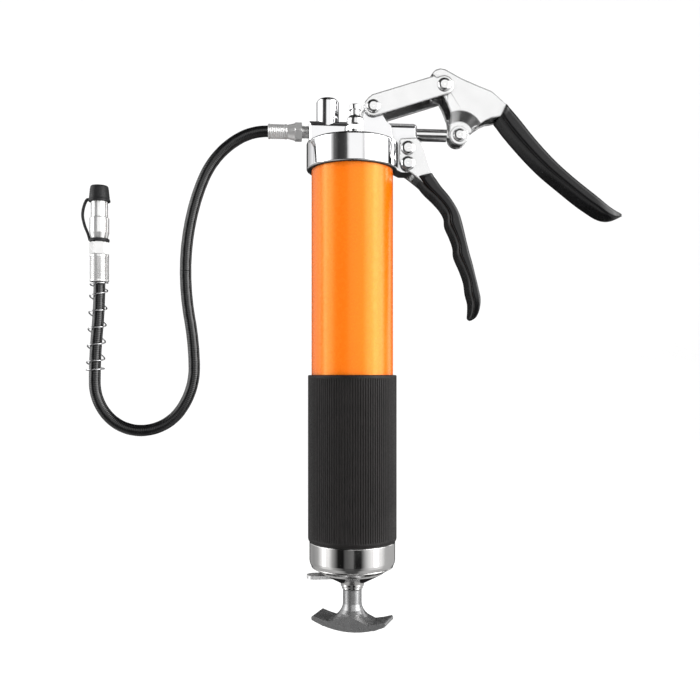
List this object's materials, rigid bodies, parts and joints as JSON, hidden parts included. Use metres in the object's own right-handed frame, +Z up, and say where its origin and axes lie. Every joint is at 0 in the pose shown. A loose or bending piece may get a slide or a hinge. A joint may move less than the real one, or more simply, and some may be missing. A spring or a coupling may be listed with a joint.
{
  "type": "lever grease gun",
  "caption": "Hand lever grease gun: painted barrel with ribbed grip and T-handled follower rod, plated pump head, black-gripped lever and handle, flexible hose with capped coupler.",
  "frame": {"origin": "on the barrel's axis, half way along its bare painted length", "axes": "+Z up the barrel towards the pump head, +X towards the lever and fixed handle, -X towards the hose, +Y away from the side that shows the filler nipple"},
  "size_m": [0.3737, 0.064, 0.3904],
  "materials": {
    "cast_grey": "bead-blasted casting",
    "chrome_cap": "bright plated steel",
    "chrome_head": "bright plated zinc casting",
    "hose_rubber": "smooth thermoplastic hose cover",
    "nickel_fitting": "nickel plated steel",
    "orange_paint": "gloss powder coat",
    "pin_steel": "plated steel",
    "ribbed_rubber": "matte ribbed rubber",
    "seal_rubber": "moulded nitrile",
    "spring_steel": "drawn spring wire",
    "vinyl": "dipped black vinyl",
    "zinc_steel": "zinc plated stamped steel"
  },
  "bodies": {
    "gun": {"pump_head": "chrome_head", "valve_plug": "chrome_head", "valve_spring": "spring_steel", "barrel_tube": "orange_paint", "barrel_grip": "ribbed_rubber", "head_gasket": "seal_rubber", "end_cap": "chrome_cap", "spring_seat": "zinc_steel", "follower_spring": "spring_steel", "latch_spring": "spring_steel", "filler_nipple": "nickel_fitting", "filler_spring": "spring_steel", "plunger_seal": "seal_rubber", "link_pin": "pin_steel", "handle_frame": "zinc_steel", "handle_grip": "vinyl", "handle_pins": "pin_steel", "head_fitting": "nickel_fitting", "ferrule_head": "nickel_fitting", "hose_upper": "hose_rubber"},
    "link": {"link": "zinc_steel", "lever_pin": "pin_steel"},
    "lever": {"lever": "zinc_steel", "lever_grip": "vinyl", "plunger_pin": "pin_steel"},
    "plunger": {"plunger": "pin_steel"},
    "rod": {"follower_rod": "pin_steel", "rod_nut": "zinc_steel", "follower_plate": "zinc_steel", "follower_cup": "seal_rubber", "t_handle": "cast_grey"},
    "latch": {"rod_latch": "zinc_steel"},
    "check_ball": {"check_ball": "pin_steel"},
    "filler_ball": {"filler_ball": "pin_steel"},
    "hose_mid": {"hose_middle": "hose_rubber"},
    "hose_end": {"hose_lower": "hose_rubber", "ferrule_end": "nickel_fitting", "end_fitting": "nickel_fitting", "spring_guard": "spring_steel", "coupler_body": "nickel_fitting", "coupler_nose": "nickel_fitting", "coupler_jaws": "zinc_steel", "coupler_spring": "spring_steel", "lanyard": "seal_rubber"},
    "coupler_piston": {"coupler_seal": "seal_rubber"},
    "dust_cap": {"dust_cap": "seal_rubber"}
  },
  "joints": [
    {"name": "lever_swing", "type": "hinge", "parent": "link", "child": "lever", "pos_m": [0.06285, 0, 0.12969], "axis": [0, 1, 0], "range_deg": [0, 37]},
    {"name": "link_swing", "type": "hinge", "parent": "gun", "child": "link", "pos_m": [0.01344, 0, 0.11333], "axis": [0, 1, 0], "range_deg": [-1.6, 0]},
    {"name": "plunger_stroke", "type": "slide", "parent": "gun", "child": "plunger", "axis": [-1, 0, 0], "range_m": [0, 0.0222]},
    {"name": "rod_pull", "type": "slide", "parent": "gun", "child": "rod", "axis": [0, 0, -1], "range_m": [0, 0.205], "deforming": ["follower_spring"]},
    {"name": "latch_tilt", "type": "hinge", "parent": "gun", "child": "latch", "pos_m": [0.0084, 0, -0.2116], "axis": [0, 1, 0], "range_deg": [0, 4], "stiffness_Nm_per_rad": 0.5, "deforming": ["latch_spring"]},
    {"name": "check_lift", "type": "slide", "parent": "gun", "child": "check_ball", "axis": [0, 0, 1], "range_m": [0, 0.0012], "stiffness_N_per_m": 150, "deforming": ["valve_spring"]},
    {"name": "filler_press", "type": "slide", "parent": "gun", "child": "filler_ball", "axis": [0, 0, -1], "range_m": [0, 0.0015], "stiffness_N_per_m": 150, "deforming": ["filler_spring"]},
    {"name": "hose_flex_upper", "type": "hinge", "parent": "gun", "child": "hose_mid", "pos_m": [-0.1082, 0, 0.0492], "axis": [0, 1, 0], "range_deg": [-18, 18], "stiffness_Nm_per_rad": 6},
    {"name": "hose_flex_lower", "type": "hinge", "parent": "hose_mid", "child": "hose_end", "pos_m": [-0.1453, 0, -0.1093], "axis": [0, 1, 0], "range_deg": [-12, 12], "stiffness_Nm_per_rad": 6},
    {"name": "coupler_press", "type": "slide", "parent": "hose_end", "child": "coupler_piston", "axis": [0, 0, -1], "range_m": [0, 0.0012], "stiffness_N_per_m": 300, "deforming": ["coupler_spring"]},
    {"name": "cap_pull", "type": "slide", "parent": "hose_end", "child": "dust_cap", "axis": [0, 0, 1], "range_m": [0, 0.016]}
  ],
  "couplings": [
    {"joint": "link_swing", "follows": "lever_swing", "ratio": -0.04016},
    {"joint": "plunger_stroke", "follows": "lever_swing", "m_per_rad": 0.033764}
  ]
}
